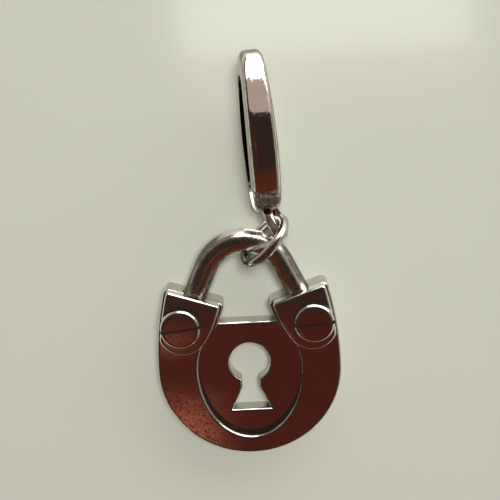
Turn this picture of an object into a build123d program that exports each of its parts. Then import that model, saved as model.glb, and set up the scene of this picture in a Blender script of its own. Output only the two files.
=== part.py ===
from build123d import *
import math
import os

os.makedirs("parts", exist_ok=True)

# Silver padlock charm on a clip carrier, lying on its back, all in millimetres
# Working frame: X right, Y towards the shackle, Z out of the lock's front, back face at Z 0

# Lock body: a cast frame with a recessed plate
BODY_R = 9.15
SIDE_R = 33.0
FRAME_H = 2.6
PLATE_H = 1.65
ARM_TOP_IN = (2.54, 7.2)
ARM_TOP_OUT = (7.82, 9.0)
ARM_TIP_X = 2.15
ARM_BEND = (2.52, 5.9)
ARM_ROOT_X = 2.95
ARM_IN_CORNER_R = 0.5
ARM_OUT_CORNER_R = 0.6
PLATE_TOP_Y = 4.8
PLATE_LAP = 0.6
RECESS_HALF_W = 5.15
RECESS_DOWN = 7.3
FRAME_EDGE_R = 0.28
PLATE_EDGE_R = 0.38
BACK_EDGE_R = 0.2

# Keyhole through the plate
KEY_R = 2.03
KEY_Y = 0.42
KEY_NECK_HALF = 0.88
KEY_NECK_Y = -2.35
KEY_FOOT_HALF = 1.95
KEY_FOOT_Y = -4.7
KEY_EDGE_R = 0.28

# Cheeks: the two cover plates under the screws
CHEEK_H = 1.1
CHEEK_GAP = 0.04
CHEEK_INSET = 0.3
CHEEK_EDGE_R = 0.35
CHEEK_BEND = (3.3, 5.06)
CHEEK_LOW = (4.24, 3.38)
CHEEK_OUT_LOW_Y = 3.85
CHEEK_CORNER_R = 0.35
CHEEK_FOOT_R = 1.0

# Screws
SCREW_INSET = 2.7
SCREW_X = BODY_R - SCREW_INSET
SCREW_Y = 5.3
HEAD_R = 1.95
HEAD_H = 0.9
HEAD_EDGE_R = 0.42
HEAD_GAP = 0.04
SLOT_W = 0.34
SLOT_DEEP = 0.42
SLOT_TILT_LEFT = 6.4
SLOT_TILT_RIGHT = 3.2
SHANK_R = 0.6
SHANK_GAP = 0.05
SHANK_INTO_BODY = 1.5
SHANK_END_GAP = 0.15

# Shackle: a round bar whose legs are held between the body and the cheeks
SHACKLE_R = 1.15
SHACKLE_ARC_R = 3.95
SHACKLE_ARC_Y = 9.48
SHACKLE_SPLAY = 24.5
SHACKLE_LEG = 5.25
SHACKLE_BASE_Y = 7.9
SHACKLE_BASE_Z = 1.85
SHACKLE_RISE = 8.0
SHACKLE_END_R = 0.2
SOCKET_GAP = 0.05

# Jump ring through the shackle and the carrier's eye
RING_R = 2.628
RING_WIRE = 0.9
RING_AT = (2.05, 13.383, 3.057)
RING_NORMAL = (0.689, -0.703, -0.176)

# Carrier: a tall oval ring standing on its rim, leaning, turned and rocked towards its eye
CARRIER_LEN = 14.95
CARRIER_DEEP = 6.3
CARRIER_END_R = 2.2
CARRIER_WALL_NEAR = 2.0
CARRIER_WALL_FAR = 1.1
CARRIER_WALL_END = 2.15
CARRIER_HOLE_R = 1.1
CARRIER_TOP_W = 1.8
CARRIER_UPPER_W = 2.38
CARRIER_UPPER_Y = 3.0
CARRIER_WIDE_W = 2.62
CARRIER_WIDE_Y = -4.3
CARRIER_FOOT_W = 2.45
CARRIER_EDGE_R = 0.6
CARRIER_LEAN = 8.0
CARRIER_ROCK = 9.0
CARRIER_YAW = 4.6
PLAN_SPARE = 1.0

# Gate: the plain bar that closes the carrier's far side
GATE_HALF = 3.9
GATE_GAP = 0.06

# Eye soldered on the carrier's lower end
EYE_R = 1.65
EYE_THICK = 0.62
EYE_WIDE = 0.92
EYE_SINK = 0.41
EYE_SHIFT = 0.7
EYE_TURN = 23.8
EYE_TIP = 13.4
EYE_AT = (3.147, 15.077)


def side_x(y, inset):
    """X of the frame's side arc at a height, moved in by an inset."""
    r = SIDE_R - inset
    return BODY_R - SIDE_R + math.sqrt(r * r - y * y)


def arm_top_y(x):
    """Y of the sloping arm top line at an X."""
    slope = (ARM_TOP_OUT[1] - ARM_TOP_IN[1]) / (ARM_TOP_OUT[0] - ARM_TOP_IN[0])
    return ARM_TOP_IN[1] + slope * (x - ARM_TOP_IN[0])


def arm_outer_corner(inset):
    """Where the arm top line meets the side arc, found by stepping."""
    y = ARM_TOP_OUT[1]
    for step in range(12):
        y = arm_top_y(side_x(y, inset))
    return (side_x(y, inset), y)


def arm_point(y, inset=0.0):
    return (side_x(y, inset), y)


def mirrored(shape):
    return mirror(shape, about=Plane.YZ)


def frame_face():
    """Outline of the body: half circle, two bowed sides and two arms."""
    corner = arm_outer_corner(0.0)
    tip = (ARM_TIP_X, arm_top_y(ARM_TIP_X))
    root = (ARM_ROOT_X, PLATE_TOP_Y)
    low = math.sqrt(0.5) * BODY_R
    lines = [
        ThreePointArc((0, -BODY_R), (low, -low), (BODY_R, 0)),
        ThreePointArc((BODY_R, 0), arm_point(corner[1] / 2), corner),
        Line(corner, tip),
        ThreePointArc(tip, ARM_BEND, root),
        Line(root, (0, PLATE_TOP_Y)),
        Line((0, PLATE_TOP_Y), (0, -BODY_R)),
    ]
    half = make_face(lines)
    outer = half.vertices().sort_by_distance((corner[0], corner[1], 0))[0]
    half = fillet(outer, ARM_OUT_CORNER_R)
    inner = half.vertices().sort_by_distance((tip[0], tip[1], 0))[0]
    half = fillet(inner, ARM_IN_CORNER_R)
    return half + mirrored(half)


def recess_face(grow):
    """The plate's oval, cut off straight at the plate's top edge."""
    half_w = RECESS_HALF_W + grow
    root_share = ARM_ROOT_X / RECESS_HALF_W
    up = PLATE_TOP_Y / math.sqrt(1 - root_share * root_share) + grow
    down = RECESS_DOWN + grow
    top_x = half_w * math.sqrt(1 - (PLATE_TOP_Y / up) ** 2)
    upper = Ellipse(half_w, up) & Pos(0, up / 2) * Rectangle(2 * half_w, up)
    lower = Ellipse(half_w, down) & Pos(0, -down / 2) * Rectangle(2 * half_w, down)
    keep = Pos(0, PLATE_TOP_Y - down) * Rectangle(4 * top_x + 4 * half_w, 2 * down)
    return (upper + lower) & keep


def keyhole_face():
    """Round hole with a neck that flares to a straight foot."""
    neck = Polygon(
        (KEY_NECK_HALF, KEY_Y),
        (-KEY_NECK_HALF, KEY_Y),
        (-KEY_NECK_HALF, KEY_NECK_Y),
        (-KEY_FOOT_HALF, KEY_FOOT_Y),
        (KEY_FOOT_HALF, KEY_FOOT_Y),
        (KEY_NECK_HALF, KEY_NECK_Y),
        align=None,
    )
    return neck + Pos(0, KEY_Y) * Circle(KEY_R)


def shackle_bar(radius, leg):
    """Bar round the shackle's arc and down both splayed legs, at its tilt."""
    turn = math.radians(90 - SHACKLE_SPLAY)
    end = (SHACKLE_ARC_R * math.sin(turn), SHACKLE_ARC_Y + SHACKLE_ARC_R * math.cos(turn))
    run = (math.cos(turn), -math.sin(turn))
    foot = (end[0] + leg * run[0], end[1] + leg * run[1])
    apex = (0, SHACKLE_ARC_Y + SHACKLE_ARC_R)
    path = Wire(
        [
            Line((-foot[0], foot[1]), (-end[0], end[1])),
            ThreePointArc((-end[0], end[1]), apex, end),
            Line(end, foot),
        ]
    )
    start = Plane(origin=(-foot[0], foot[1], 0), z_dir=(run[0], -run[1], 0))
    bar = sweep(start * Circle(radius), path=path)
    return bar.moved(Location((0, -SHACKLE_BASE_Y, 0))).moved(
        Location((0, SHACKLE_BASE_Y, SHACKLE_BASE_Z), (SHACKLE_RISE, 0, 0))
    )


def lock_body():
    """Frame and plate cast as one, with sockets for the shackle and the screws."""
    frame = extrude(frame_face() - recess_face(0), FRAME_H)
    front = frame.edges().filter_by(Plane.XY).group_by(Axis.Z)[-1]
    frame = fillet(front, FRAME_EDGE_R)
    back = frame.faces().sort_by(Axis.Z)[0].outer_wire().edges()
    frame = fillet(back, BACK_EDGE_R)
    plate = extrude(recess_face(PLATE_LAP), PLATE_H)
    plate -= extrude(keyhole_face(), PLATE_H)
    plate_front = plate.faces().sort_by(Axis.Z)[-1]
    plate = fillet(plate_front.inner_wires()[0].edges(), KEY_EDGE_R)
    body = frame + plate
    top_edge = body.edges().filter_by(Axis.X).sort_by_distance((0, PLATE_TOP_Y, PLATE_H))[0]
    body = fillet(top_edge, PLATE_EDGE_R)
    body -= shackle_bar(SHACKLE_R + SOCKET_GAP, SHACKLE_LEG + SOCKET_GAP)
    depth = SHANK_INTO_BODY + SHANK_END_GAP
    for side in (-1, 1):
        at = Pos(side * SCREW_X, SCREW_Y, FRAME_H - depth / 2)
        body -= at * Cylinder(SHANK_R + SHANK_GAP, depth)
    return body


def cheek():
    """Right-hand cover plate, from the arm top down past the screw."""
    corner = arm_outer_corner(CHEEK_INSET)
    out_low = arm_point(CHEEK_OUT_LOW_Y, CHEEK_INSET)
    middle = arm_point((corner[1] + CHEEK_OUT_LOW_Y) / 2, CHEEK_INSET)
    inner = ThreePointArc(ARM_TOP_IN, CHEEK_BEND, CHEEK_LOW)
    lines = [
        Line(corner, ARM_TOP_IN),
        inner,
        TangentArc(CHEEK_LOW, out_low, tangent=inner % 1),
        ThreePointArc(out_low, middle, corner),
    ]
    face = make_face(lines)
    for at, radius in ((corner, CHEEK_CORNER_R), (ARM_TOP_IN, CHEEK_CORNER_R), (out_low, CHEEK_FOOT_R)):
        vertex = face.vertices().sort_by_distance((at[0], at[1], 0))[0]
        face = fillet(vertex, radius)
    plate = extrude(face, CHEEK_H - CHEEK_GAP)
    front = plate.edges().filter_by(Plane.XY).group_by(Axis.Z)[-1]
    plate = fillet(front, CHEEK_EDGE_R)
    plate = Pos(0, 0, FRAME_H + CHEEK_GAP) * plate
    plate -= shackle_bar(SHACKLE_R + SOCKET_GAP, SHACKLE_LEG + SOCKET_GAP)
    hole = Cylinder(SHANK_R + SHANK_GAP, 4 * CHEEK_H)
    return plate - Pos(SCREW_X, SCREW_Y, FRAME_H) * hole


def screw(tilt):
    """Cheese-head screw standing on Z 0 with its shank below."""
    head = Pos(0, 0, HEAD_H / 2) * Cylinder(HEAD_R, HEAD_H)
    rim = head.edges().group_by(Axis.Z)[-1]
    head = fillet(rim, HEAD_EDGE_R)
    slot = Box(3 * HEAD_R, SLOT_W, 2 * SLOT_DEEP)
    head -= Pos(0, 0, HEAD_H) * Rot(0, 0, tilt) * slot
    length = CHEEK_H + SHANK_INTO_BODY
    return head + Pos(0, 0, (HEAD_H - length) / 2 - HEAD_H / 4) * Cylinder(SHANK_R, length + HEAD_H / 2)


def jump_ring():
    """Plain round ring set in its place through the shackle."""
    ring = Torus(RING_R, RING_WIRE / 2)
    return Plane(origin=RING_AT, z_dir=RING_NORMAL) * ring


def oval_face(half_len, half_deep, end_r):
    """Four-arc oval in the YZ plane, longest along Y."""
    reach = half_len - end_r
    side_r = (reach * reach + half_deep * half_deep - end_r * end_r) / (2 * (half_deep - end_r))
    centre = side_r - half_deep
    join = math.hypot(reach, centre)
    join_y = side_r * reach / join
    join_z = side_r * centre / join - centre
    lines = [
        ThreePointArc((-join_y, join_z), (0, half_deep), (join_y, join_z)),
        ThreePointArc((join_y, join_z), (half_len, 0), (join_y, -join_z)),
        ThreePointArc((join_y, -join_z), (0, -half_deep), (-join_y, -join_z)),
        ThreePointArc((-join_y, -join_z), (-half_len, 0), (-join_y, join_z)),
    ]
    return Plane.YZ * make_face(lines)


def carrier_plan():
    """The carrier seen along its depth, widest near the eye."""
    end = CARRIER_LEN / 2 + PLAN_SPARE
    right = [
        (CARRIER_TOP_W / 2, end),
        (CARRIER_UPPER_W / 2, CARRIER_UPPER_Y),
        (CARRIER_WIDE_W / 2, CARRIER_WIDE_Y),
        (CARRIER_FOOT_W / 2, -end),
    ]
    left = [(-x, y) for x, y in right]
    lines = [
        Spline(right),
        Line(right[-1], left[-1]),
        Spline(left),
        Line(left[0], right[0]),
    ]
    return make_face(lines)


def carrier_band():
    """Oval ring in the YZ plane, tapered in plan, with softened edges."""
    half = CARRIER_LEN / 2
    deep = CARRIER_DEEP / 2
    across = 2 * CARRIER_WIDE_W
    outer = Pos(-CARRIER_WIDE_W, 0, 0) * extrude(oval_face(half, deep, CARRIER_END_R), across)
    outer = outer & Pos(0, 0, -CARRIER_DEEP) * extrude(carrier_plan(), 2 * CARRIER_DEEP)
    outer = fillet(outer.edges().filter_by(Axis.X, reverse=True), CARRIER_EDGE_R)
    hole_deep = (CARRIER_DEEP - CARRIER_WALL_NEAR - CARRIER_WALL_FAR) / 2
    hole = extrude(oval_face(half - CARRIER_WALL_END, hole_deep, CARRIER_HOLE_R), across)
    return outer - Pos(-CARRIER_WIDE_W, 0, (CARRIER_WALL_FAR - CARRIER_WALL_NEAR) / 2) * hole


def gate_block(gap):
    """Space of the gate: the middle of the far wall, less a gap at each end."""
    long = 2 * (GATE_HALF - gap)
    block = Box(4 * CARRIER_WIDE_W, long, CARRIER_DEEP / 2)
    return Pos(0, 0, -CARRIER_DEEP / 2) * block


def carrier_and_gate():
    """Carrier with its soldered eye, and the gate, as they lie on the floor."""
    band = carrier_band()
    eye_y = -CARRIER_LEN / 2 - EYE_R + EYE_SINK
    section = Plane.XZ * Pos(EYE_R, 0, 0) * SlotOverall(EYE_WIDE, EYE_THICK, rotation=90)
    eye = Rot(0, 0, EYE_TURN) * Rot(0, 90 - EYE_TIP, 0) * revolve(section, Axis.Z)
    eye = Pos(EYE_SHIFT, eye_y, 0) * eye
    carrier = band - gate_block(0) + eye
    gate = band & gate_block(GATE_GAP)
    turn = Rot(0, 0, CARRIER_YAW) * Rot(0, CARRIER_LEAN, 0) * Rot(CARRIER_ROCK, 0, 0)
    turn = turn * Pos(-EYE_SHIFT, -eye_y, 0)
    carrier = turn * carrier
    gate = turn * gate
    low = min(carrier.bounding_box().min.Z, gate.bounding_box().min.Z)
    place = Pos(EYE_AT[0], EYE_AT[1], -low)
    return place * carrier, place * gate


lock = lock_body()
right_cheek = cheek()
left_cheek = mirrored(right_cheek)
head_z = FRAME_H + CHEEK_H + HEAD_GAP
left_screw = Pos(-SCREW_X, SCREW_Y, head_z) * screw(SLOT_TILT_LEFT)
right_screw = Pos(SCREW_X, SCREW_Y, head_z) * screw(SLOT_TILT_RIGHT)
shackle_ends = shackle_bar(SHACKLE_R, SHACKLE_LEG)
shackle = fillet(shackle_ends.edges().group_by(Axis.Y)[0], SHACKLE_END_R)
ring = jump_ring()
carrier, gate = carrier_and_gate()

pieces = {
    "lock_body": lock,
    "left_cheek": left_cheek,
    "right_cheek": right_cheek,
    "left_screw": left_screw,
    "right_screw": right_screw,
    "shackle": shackle,
    "jump_ring": ring,
    "carrier": carrier,
    "carrier_gate": gate,
}

# Origin at the middle of the bottom of the whole charm
boxes = [piece.bounding_box() for piece in pieces.values()]
mid_x = (min(box.min.X for box in boxes) + max(box.max.X for box in boxes)) / 2
mid_y = (min(box.min.Y for box in boxes) + max(box.max.Y for box in boxes)) / 2
bottom = min(box.min.Z for box in boxes)
for name, piece in pieces.items():
    export_step(Pos(-mid_x, -mid_y, -bottom) * piece, "parts/" + name + ".step")
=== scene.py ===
import math

import bpy
from mathutils import Matrix, Vector


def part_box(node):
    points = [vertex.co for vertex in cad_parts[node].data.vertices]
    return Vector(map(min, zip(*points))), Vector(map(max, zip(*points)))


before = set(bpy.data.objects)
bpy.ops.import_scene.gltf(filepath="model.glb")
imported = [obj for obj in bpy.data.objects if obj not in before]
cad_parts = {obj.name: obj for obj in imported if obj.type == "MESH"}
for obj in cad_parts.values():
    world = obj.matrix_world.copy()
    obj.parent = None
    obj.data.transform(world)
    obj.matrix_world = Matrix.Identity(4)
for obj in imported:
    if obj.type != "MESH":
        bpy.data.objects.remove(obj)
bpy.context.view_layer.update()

MM = 0.001

# The camera is set by the lock: its own frame has X right, Y to the shackle and Z out of its front
LOCK_RADIUS = 9.15 * MM
LOCK_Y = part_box("lock_body")[0].y + LOCK_RADIUS
FOCAL_PX = 792.0
IMAGE_PX = 500.0
SENSOR = 36.0
CLIP_START = 0.005
CLIP_END = 5.0
NORMAL_POINT = (250.0, 34.0)
LOCK_ROLL = 3.0
CAMERA_PLACE = (1.633, 32.293, 75.567)

# Linear colours of the silver, of the painted shade on its steep faces, of the painted dark brown reflection
# in the carrier's opening, and of what it mirrors
SILVER = (0.92, 0.89, 0.85)
TARNISH = (0.76, 0.68, 0.58)
STEEP_SHADE = (0.1, 0.075, 0.055)
PAINTED_REFLECTION_BROWN = (0.3, 0.1, 0.045)
SOLDER = (0.13, 0.108, 0.07)
FLOOR = (0.575, 0.585, 0.5)
SKY_DARK = (0.03, 0.019, 0.015)
SKY_BELOW = (0.45, 0.44, 0.38)
FLOOR_HALF = 0.5
FLOOR_ROUGHNESS = 0.28

# Noise scales of the silver, per metre
TARNISH_SCALE = 260.0
SPECK_SCALE = 4500.0
UNEVEN_SCALE = 700.0
LUMP_SCALE = 1300.0
BRIGHT_SCALE = 2100.0
HAZE_SCALE = 900.0
WAVE_SCALE = 320.0
SCRATCH_SCALE = (14000.0, 700.0, 5000.0)

# How much of each colour is mixed in, and how much a speck roughens
TARNISH_AMOUNT = 0.35
PAINTED_REFLECTION_AMOUNT = 0.9
SOLDER_AMOUNT = 0.92
SOLDER_MATT = 0.4
SPECK_ROUGHNESS = 0.12

# Depths of the silver's relief: the first two in metres, the others in millimetres
WAVE_DEPTH = 0.00001
LUMP_DEPTH = 0.00025
PIT_DEPTH_MM = 0.005
SCRATCH_DEPTH_MM = 0.0006

# Edges of the painted shade, the painted brown reflection and the solder film: how far the painted shade's
# edge wanders, and the distances over which zones fade
STEEP_SHADE_WANDER = 0.12
SHADE_FREE_FADE = (2.3 * MM, 3.5 * MM)
PAINTED_REFLECTION_FADE = 0.8 * MM
FILM_WANDER = 0.6 * MM
FILM_START = 0.6 * MM
FILM_FULL = 0.4 * MM
FILM_HEIGHT = (3.6 * MM, 4.2 * MM)

# Sky patches, as middle, half size and softness in degrees along the two sky angles, and linear colour.
# They were tuned for what the silver mirrors from the camera's place, so other views are less plain.
SKY_PATCHES = (
    ((46, 0), (12, 60), (6, 10), (0.06, 0.042, 0.035)),
    ((-78, 0), (16, 80), (6, 10), (0.07, 0.035, 0.012)),
    ((-57, 0), (11, 34), (5, 10), (0.08, 0.02, 0.01)),
    ((-26.2, 0), (6.7, 24), (1.0, 8), (0.066, 0.0135, 0.0085)),
    ((-28.9, -6.7), (2.5, 2.7), (2.0, 2.2), (0.36, 0.11, 0.06)),
    ((-21.6, -7.5), (0.6, 2), (0.6, 1.5), (0.2, 0.06, 0.033)),
    ((-27, 18), (18, 7), (4, 5), (0.030, 0.017, 0.015)),
    ((74, -50), (20, 36), (5, 10), (0.2, 0.155, 0.13)),
    ((-10, 66), (40, 16), (15, 8), (0.3, 0.27, 0.22)),
    ((76, 27), (17, 36), (4, 7), (4.0, 4.0, 3.95)),
)
HORIZON_SOFT = 0.02

# The lamp that lights the floor, which mirrors do not show
OVERHEAD_PLACE = (0.05, 0.15, 0.42)
OVERHEAD_AIM = (0.01, 0, 0)
OVERHEAD_SIZE = (0.16, 0.16)
OVERHEAD_RADIANCE = 22.0
OVERHEAD_COLOUR = (1.0, 1.0, 0.98)

# Cards that only mirrors show, above the carrier's far end and beyond it. They meet at CARD_EDGE_Y.
# Each row: name, middle beyond that edge in millimetres, depth in metres, radiance and colour
CARD_EDGE_Y = LOCK_Y + 30 * MM
CARD_X = 0.0095
CARD_Z = 0.0108
CARD_WIDTH = 0.031
CARDS = (
    ("near_card", 15, 0.030, 3.0, (1, 1, 0.98)),
    ("warm_card", -2.3, 0.0046, 0.4, (1, 0.8, 0.7)),
)

# A small card just above the floor behind the shackle, which only mirrors show
FLOOR_CARD_PLACE = (0.0019, LOCK_Y + 16.2 * MM, 0.0001)
FLOOR_CARD_SIZE = (0.0034, 0.0026)
FLOOR_CARD_RADIANCE = 1.3
FLOOR_CARD_COLOUR = (1, 1, 0.97)

# Painted shade on steep faces, as amount, upward part of the normal where it starts, and where it is full
BODY_STEEP_SHADE = (0.42, 0.5, 0.2)
SHACKLE_STEEP_SHADE = (0.9, 0.85, 0.5)
RING_STEEP_SHADE = (0.45, 0.85, 0.5)
CARRIER_STEEP_SHADE = (0.8, 0.65, 0.35)

# Where the painted shade is kept off the shackle, how high the painted brown reflection inside the carrier
# reaches, and where its solder ends
SHACKLE_SHADE_FREE_POINT = (0.8 * MM, LOCK_Y + 14 * MM, 3 * MM)
PAINTED_REFLECTION_TOP = 3.4 * MM
SOLDER_END_Y = LOCK_Y + 18.1 * MM


def camera():
    """The photograph's camera, from above the lock's foot."""
    data = bpy.data.cameras.new("camera")
    data.sensor_width = SENSOR
    data.lens = SENSOR * FOCAL_PX / IMAGE_PX
    data.clip_start = CLIP_START
    data.clip_end = CLIP_END
    middle = IMAGE_PX / 2
    ahead = Vector((NORMAL_POINT[0] - middle, NORMAL_POINT[1] - middle, FOCAL_PX)).normalized()
    normal = -ahead
    roll = math.radians(LOCK_ROLL)
    across = Vector((math.cos(roll), -math.sin(roll), 0))
    across = (across - normal * across.dot(normal)).normalized()
    along = normal.cross(across)
    to_camera = Matrix((across, along, normal)).transposed()
    to_lock = to_camera.transposed()
    right = to_lock @ Vector((1, 0, 0))
    up = to_lock @ Vector((0, -1, 0))
    back = to_lock @ Vector((0, 0, -1))
    turn = Matrix((right, up, back)).transposed().to_4x4()
    obj = bpy.data.objects.new("camera", data)
    bpy.context.collection.objects.link(obj)
    place = Vector(CAMERA_PLACE) * MM + Vector((0, LOCK_Y, 0))
    obj.matrix_world = Matrix.Translation(place) @ turn
    bpy.context.scene.camera = obj


class Nodes:
    """Short names for the nodes of one tree."""

    def __init__(self, tree):
        self.tree = tree

    def add(self, kind, **settings):
        node = self.tree.nodes.new(kind)
        for key, value in settings.items():
            setattr(node, key, value)
        return node

    def join(self, source, target):
        self.tree.links.new(source, target)

    def fill(self, socket, value):
        if isinstance(value, bpy.types.NodeSocket):
            self.join(value, socket)
        else:
            socket.default_value = value

    def math(self, operation, a, b=0.0, c=0.0):
        node = self.add("ShaderNodeMath", operation=operation)
        for socket, value in zip(node.inputs, (a, b, c)):
            self.fill(socket, value)
        return node.outputs[0]

    def dot(self, a, b):
        node = self.add("ShaderNodeVectorMath", operation="DOT_PRODUCT")
        self.fill(node.inputs[0], a)
        self.fill(node.inputs[1], b)
        return node.outputs["Value"]

    def step(self, value, low, high):
        """Smooth step from 0 at low to 1 at high."""
        node = self.add("ShaderNodeMapRange", interpolation_type="SMOOTHSTEP")
        self.fill(node.inputs["Value"], value)
        node.inputs["From Min"].default_value = low
        node.inputs["From Max"].default_value = high
        return node.outputs["Result"]

    def scale_to(self, value, low, high, to_low, to_high):
        node = self.add("ShaderNodeMapRange")
        self.fill(node.inputs["Value"], value)
        node.inputs["From Min"].default_value = low
        node.inputs["From Max"].default_value = high
        node.inputs["To Min"].default_value = to_low
        node.inputs["To Max"].default_value = to_high
        return node.outputs["Result"]

    def mix(self, factor, a, b):
        node = self.add("ShaderNodeMix", data_type="RGBA")
        self.fill(node.inputs["Factor"], factor)
        for socket, value in ((node.inputs[6], a), (node.inputs[7], b)):
            if isinstance(value, tuple) and len(value) == 3:
                value = (*value, 1)
            self.fill(socket, value)
        return node.outputs[2]

    def noise(self, vector, scale, detail=2.0, rough=0.5, distortion=0.0):
        node = self.add("ShaderNodeTexNoise")
        self.join(vector, node.inputs["Vector"])
        node.inputs["Scale"].default_value = scale
        node.inputs["Detail"].default_value = detail
        node.inputs["Roughness"].default_value = rough
        node.inputs["Distortion"].default_value = distortion
        return node.outputs["Fac"]

    def bump(self, height, distance, normal=None):
        node = self.add("ShaderNodeBump")
        node.inputs["Strength"].default_value = 1.0
        node.inputs["Distance"].default_value = distance
        self.join(height, node.inputs["Height"])
        if normal is not None:
            self.join(normal, node.inputs["Normal"])
        return node.outputs["Normal"]


def silver(name, rough, turn, specks=0.4, steep_shade=None, low=None, polished=None, solder=None):
    """Hand-polished silver: waves left by casting, fine pits, scratches along turn and faint warm tarnish.

    Painted shade darkens steep faces except around the point where it is kept off, low paints a dark brown
    reflection on the upward faces below that height, and solder lays a dull lumpy film on the part before
    that Y.
    """
    mat = bpy.data.materials.new(name)
    mat.use_nodes = True
    n = Nodes(mat.node_tree)
    shader = mat.node_tree.nodes["Principled BSDF"]
    place = n.add("ShaderNodeTexCoord").outputs["Object"]
    shader.inputs["Metallic"].default_value = 1.0

    patches = n.step(n.noise(place, TARNISH_SCALE, 3.0, 0.6), 0.42, 0.72)
    colour = n.mix(n.math("MULTIPLY", patches, TARNISH_AMOUNT), SILVER, TARNISH)

    speck = n.step(n.noise(place, SPECK_SCALE, 3.0, 0.7), 0.56, 0.66)
    colour = n.mix(n.math("MULTIPLY", speck, specks), colour, TARNISH)
    at = n.add("ShaderNodeSeparateXYZ")
    n.join(place, at.inputs[0])
    facing = n.add("ShaderNodeSeparateXYZ")
    n.join(n.add("ShaderNodeNewGeometry").outputs["Normal"], facing.inputs[0])
    uneven = n.scale_to(n.noise(place, UNEVEN_SCALE, 3.0, 0.6), 0.3, 0.7, -STEEP_SHADE_WANDER, STEEP_SHADE_WANDER)
    # Painted shade: steep faces are darkened, except around a point where it is kept off
    if steep_shade:
        amount, start, full = steep_shade
        side = n.math("MULTIPLY", n.step(n.math("ADD", facing.outputs["Z"], uneven), start, full), amount)
        if polished:
            gap = n.add("ShaderNodeVectorMath", operation="DISTANCE")
            n.join(place, gap.inputs[0])
            gap.inputs[1].default_value = polished
            side = n.math("MULTIPLY", side, n.step(gap.outputs["Value"], *SHADE_FREE_FADE))
        colour = n.mix(side, colour, STEEP_SHADE)
    # Painted reflection: dark brown on the upward faces low in the carrier's opening, for the shaded inner
    # wall they mirror
    if low:
        below = n.step(at.outputs["Z"], low, low - PAINTED_REFLECTION_FADE)
        painted_reflection = n.math("MULTIPLY", below, n.step(facing.outputs["Z"], 0.3, 0.6))
        colour = n.mix(n.math("MULTIPLY", painted_reflection, PAINTED_REFLECTION_AMOUNT), colour, PAINTED_REFLECTION_BROWN)
    film = None
    if solder:
        lumps = n.noise(place, LUMP_SCALE, 2.0, 0.5)
        wander = n.scale_to(lumps, 0.3, 0.7, -FILM_WANDER, FILM_WANDER)
        reach = n.math("ADD", at.outputs["Y"], wander)
        before = n.step(reach, solder + FILM_START, solder - FILM_FULL)
        film = n.math("MULTIPLY", before, n.step(at.outputs["Z"], *FILM_HEIGHT))
        bright = n.step(n.noise(place, BRIGHT_SCALE, 1.0, 0.5), 0.56, 0.62)
        dull = n.math("MULTIPLY", film, n.math("SUBTRACT", 1.0, bright))
        colour = n.mix(n.math("MULTIPLY", dull, SOLDER_AMOUNT), colour, SOLDER)
        n.join(n.math("SUBTRACT", 1.0, n.math("MULTIPLY", dull, SOLDER_MATT)), shader.inputs["Metallic"])
    n.join(colour, shader.inputs["Base Color"])

    streak = n.add("ShaderNodeMapping")
    streak.inputs["Rotation"].default_value = (0.0, 0.0, turn)
    streak.inputs["Scale"].default_value = SCRATCH_SCALE
    n.join(place, streak.inputs["Vector"])
    scratches = n.noise(streak.outputs["Vector"], 1.0, 2.0, 0.6)

    haze = n.noise(place, HAZE_SCALE, 3.0, 0.6)
    roughness = n.scale_to(haze, 0.3, 0.7, rough * 0.7, rough * 1.5)
    roughness = n.math("ADD", roughness, n.math("MULTIPLY", speck, SPECK_ROUGHNESS))
    n.join(roughness, shader.inputs["Roughness"])

    normal = n.bump(n.noise(place, WAVE_SCALE, 2.0, 0.5), WAVE_DEPTH)
    normal = n.bump(n.math("SUBTRACT", 1.0, speck), specks * PIT_DEPTH_MM * MM, normal)
    normal = n.bump(scratches, SCRATCH_DEPTH_MM * MM, normal)
    if film is not None:
        normal = n.bump(n.math("MULTIPLY", film, lumps), LUMP_DEPTH, normal)
    n.join(normal, shader.inputs["Normal"])
    return mat


def stage_floor():
    """Plain pale surface with a soft sheen."""
    mesh = bpy.data.meshes.new("floor")
    half = FLOOR_HALF
    corners = [(-half, -half, 0), (half, -half, 0), (half, half, 0), (-half, half, 0)]
    mesh.from_pydata(corners, [], [(0, 1, 2, 3)])
    floor = bpy.data.objects.new("floor", mesh)
    bpy.context.collection.objects.link(floor)
    mat = bpy.data.materials.new("floor")
    mat.use_nodes = True
    shader = mat.node_tree.nodes["Principled BSDF"]
    shader.inputs["Base Color"].default_value = (*FLOOR, 1)
    shader.inputs["Roughness"].default_value = FLOOR_ROUGHNESS
    mesh.materials.append(mat)


def patch(n, direction, sky, centre, half, soft, colour):
    """A soft-edged rectangle of sky.

    Angles are in degrees: the first from overhead to +Y, the second to +X.
    """
    a, b = (math.radians(v) for v in centre)
    ahead = (math.sin(b), math.cos(b) * math.sin(a), math.cos(b) * math.cos(a))
    side = (math.cos(b), -math.sin(b) * math.sin(a), -math.sin(b) * math.cos(a))
    along = (0.0, math.cos(a), -math.sin(a))
    forward = n.dot(direction, ahead)
    over_a = n.math("ABSOLUTE", n.math("ARCTAN2", n.dot(direction, along), forward))
    over_b = n.math("ABSOLUTE", n.math("ARCTAN2", n.dot(direction, side), forward))
    mask = n.math(
        "MULTIPLY",
        n.step(over_a, math.radians(half[0] + soft[0]), math.radians(half[0] - soft[0])),
        n.step(over_b, math.radians(half[1] + soft[1]), math.radians(half[1] - soft[1])),
    )
    return n.mix(mask, sky, colour)


def studio():
    """A dark reddish room with the soft patches of SKY_PATCHES, the brightest of them beyond the carrier."""
    world = bpy.data.worlds.new("studio")
    bpy.context.scene.world = world
    world.use_nodes = True
    n = Nodes(world.node_tree)
    direction = n.add("ShaderNodeTexCoord").outputs["Generated"]
    split = n.add("ShaderNodeSeparateXYZ")
    n.join(direction, split.inputs[0])
    sky = n.mix(n.step(split.outputs["Z"], -HORIZON_SOFT, HORIZON_SOFT), SKY_BELOW, SKY_DARK)
    for centre, half, soft, colour in SKY_PATCHES:
        sky = patch(n, direction, sky, centre, half, soft, colour)
    back = world.node_tree.nodes["Background"]
    n.join(sky, back.inputs["Color"])


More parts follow.
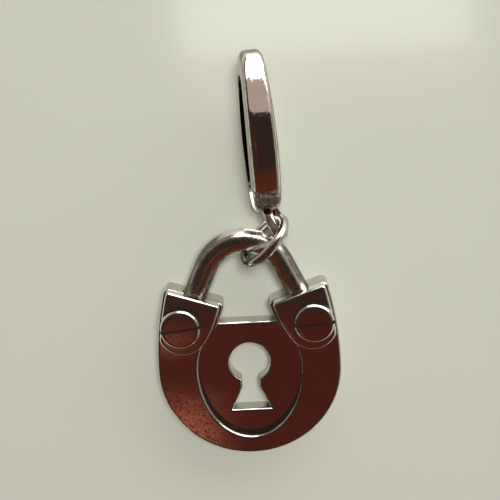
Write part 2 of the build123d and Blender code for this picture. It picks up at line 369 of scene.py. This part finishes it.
def soft_light(name, place, aim, size, strength, colour, mirrored=True, lights_floor=True):
    """A rectangular card of light, given by its radiance."""
    data = bpy.data.lights.new(name, "AREA")
    data.shape = "RECTANGLE"
    data.size, data.size_y = size
    data.energy = strength * math.pi * size[0] * size[1]
    data.color = colour
    obj = bpy.data.objects.new(name, data)
    bpy.context.collection.objects.link(obj)
    obj.location = place
    obj.rotation_euler = (Vector(aim) - Vector(place)).to_track_quat("-Z", "Y").to_euler()
    obj.visible_camera = False
    obj.visible_glossy = mirrored
    obj.visible_diffuse = lights_floor


camera()
stage_floor()
studio()
soft_light(
    "overhead", OVERHEAD_PLACE, OVERHEAD_AIM, OVERHEAD_SIZE, OVERHEAD_RADIANCE, OVERHEAD_COLOUR,
    mirrored=False,
)
for name, beyond, depth, radiance, colour in CARDS:
    place = (CARD_X, CARD_EDGE_Y + beyond * MM, CARD_Z)
    aim = (place[0], place[1], 0)
    soft_light(name, place, aim, (CARD_WIDTH, depth), radiance, colour, lights_floor=False)
above_floor_card = (FLOOR_CARD_PLACE[0], FLOOR_CARD_PLACE[1], 1)
soft_light(
    "floor_card", FLOOR_CARD_PLACE, above_floor_card, FLOOR_CARD_SIZE, FLOOR_CARD_RADIANCE, FLOOR_CARD_COLOUR,
    lights_floor=False,
)
bpy.context.scene.view_settings.view_transform = "Standard"

# Steep faces get painted shade, and the carrier and its gate get a painted brown reflection low in their
# opening
finishes = {
    "lock_body": silver("lock_body_silver", rough=0.05, turn=0.5, steep_shade=BODY_STEEP_SHADE, specks=0.8),
    "left_cheek": silver("left_cheek_silver", rough=0.05, turn=0.2),
    "right_cheek": silver("right_cheek_silver", rough=0.05, turn=-0.3),
    "left_screw": silver("left_screw_silver", rough=0.06, turn=1.1),
    "right_screw": silver("right_screw_silver", rough=0.06, turn=0.9),
    "shackle": silver("shackle_silver", rough=0.17, turn=1.5, steep_shade=SHACKLE_STEEP_SHADE, polished=SHACKLE_SHADE_FREE_POINT),
    "jump_ring": silver("jump_ring_silver", rough=0.16, turn=0.7, steep_shade=RING_STEEP_SHADE),
    "carrier": silver(
        "carrier_silver", rough=0.06, turn=0.1, steep_shade=CARRIER_STEEP_SHADE, low=PAINTED_REFLECTION_TOP, solder=SOLDER_END_Y
    ),
    "carrier_gate": silver("carrier_gate_silver", rough=0.06, turn=0.1, low=PAINTED_REFLECTION_TOP),
}
for name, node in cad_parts.items():
    for material_slot in node.material_slots:
        material_slot.material = finishes[name]
